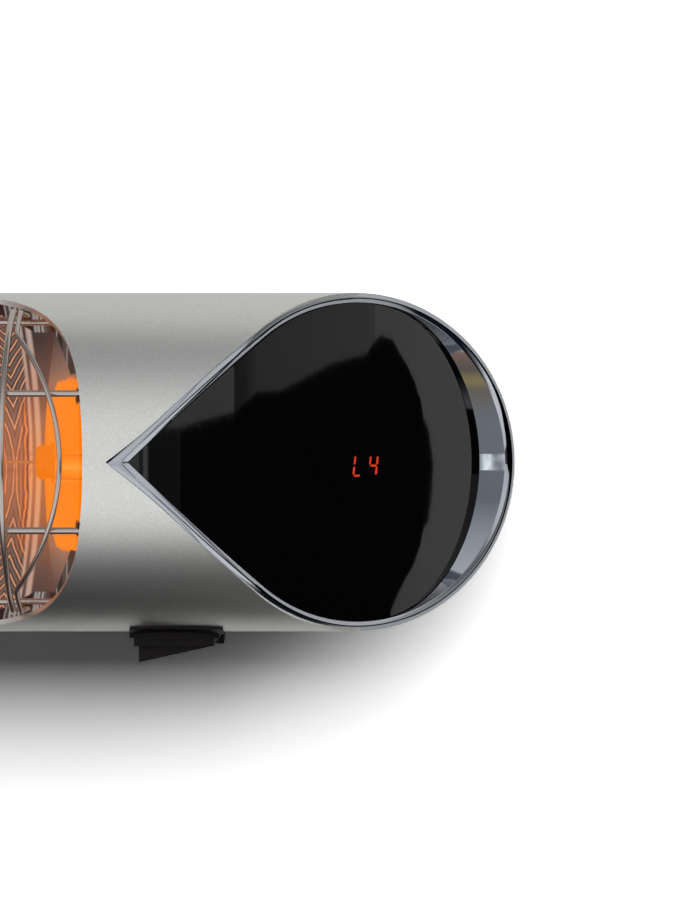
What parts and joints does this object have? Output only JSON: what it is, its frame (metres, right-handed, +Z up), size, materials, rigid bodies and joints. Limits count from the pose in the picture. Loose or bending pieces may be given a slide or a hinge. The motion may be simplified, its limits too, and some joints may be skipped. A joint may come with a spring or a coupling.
{
  "type": "infrared patio heater",
  "caption": "Wall-mounted infrared heater tube with a guarded glowing lamp, drop-shaped gloss end panel with a readout, and tilting feet on brackets.",
  "frame": {"origin": "on the wall plane, in the middle of the four wall screws", "axes": "+X along the tube towards the end with the readout, +Y into the wall (heat leaves towards -Y), +Z up"},
  "size_m": [0.88, 0.1631, 0.1249],
  "materials": {
    "anodised_tube": "satin blasted and anodised",
    "mirror_sheet": "bright rolled",
    "zinc_sheet": "zinc plated",
    "lamp_quartz": "clear",
    "lamp_carbon": "glowing",
    "lamp_ceramic": "unglazed",
    "spring_steel": "satin",
    "silicone_lead": "matt",
    "guard_steel": "polished",
    "screw_steel": "satin",
    "rubber": "matt",
    "bezel_chrome": "mirror",
    "black_panel": "high gloss",
    "module_plastic": "matt",
    "readout_red": "glowing",
    "tinned_pins": "bright",
    "board_green": "satin",
    "nylon": "satin",
    "receiver_lens": "gloss",
    "heat_sink_alloy": "extruded",
    "terminal_ceramic": "glazed",
    "cover_plastic": "fine grain",
    "switch_plastic": "semi gloss",
    "foot_paint": "fine powder coat"
  },
  "bodies": {
    "wall_mount": {"wall_bracket_right": "foot_paint", "wall_bracket_left": "foot_paint"},
    "heater": {"tube_housing": "anodised_tube", "reflector_trough": "mirror_sheet", "reflector_end_right": "mirror_sheet", "reflector_end_left": "mirror_sheet", "reflector_formers": "zinc_sheet", "lamp_quartz_tube": "lamp_quartz", "lamp_filament": "lamp_carbon", "lamp_end_caps": "lamp_ceramic", "lamp_clips": "spring_steel", "lamp_lead_right": "silicone_lead", "lamp_lead_left": "silicone_lead", "guard_hoops": "guard_steel", "guard_long_wires": "guard_steel", "guard_end_bows": "guard_steel", "guard_side_rails": "guard_steel", "bulkhead_right": "zinc_sheet", "bulkhead_left": "zinc_sheet", "bulkhead_screws": "screw_steel", "lead_grommets": "rubber", "display_bezel": "bezel_chrome", "display_panel": "black_panel", "display_gasket": "rubber", "display_module": "module_plastic", "display_segments": "readout_red", "module_pins": "tinned_pins", "control_board": "board_green", "board_spacers": "nylon", "infrared_receiver": "receiver_lens", "blank_bezel": "bezel_chrome", "blank_panel": "black_panel", "blank_gasket": "rubber", "bezel_screws": "screw_steel", "power_board": "board_green", "power_board_rails": "zinc_sheet", "triac_heat_sink": "heat_sink_alloy", "terminal_block": "terminal_ceramic", "thermal_cut_out": "spring_steel", "service_cover": "cover_plastic", "service_seal": "rubber", "cover_screws": "screw_steel", "gland_body": "nylon", "gland_cap": "nylon", "gland_seal": "rubber", "gland_lock_nut": "nylon", "rocker_frame": "switch_plastic", "supply_leads": "silicone_lead", "foot_right": "foot_paint", "foot_left": "foot_paint", "foot_screws": "screw_steel", "pivot_bolts": "screw_steel", "pivot_nuts": "screw_steel", "friction_washers": "nylon"},
    "power_rocker": {"rocker_cap": "switch_plastic"}
  },
  "joints": [
    {"name": "tilt", "type": "hinge", "parent": "wall_mount", "child": "heater", "pos_m": [0, -0.072, -0.0462], "axis": [1, 0, 0], "range_deg": [-10, 45]},
    {"name": "power_rocker", "type": "hinge", "parent": "heater", "child": "power_rocker", "pos_m": [0.354, -0.035, 0.01], "axis": [0, 0, 1], "range_deg": [0, 22]}
  ]
}
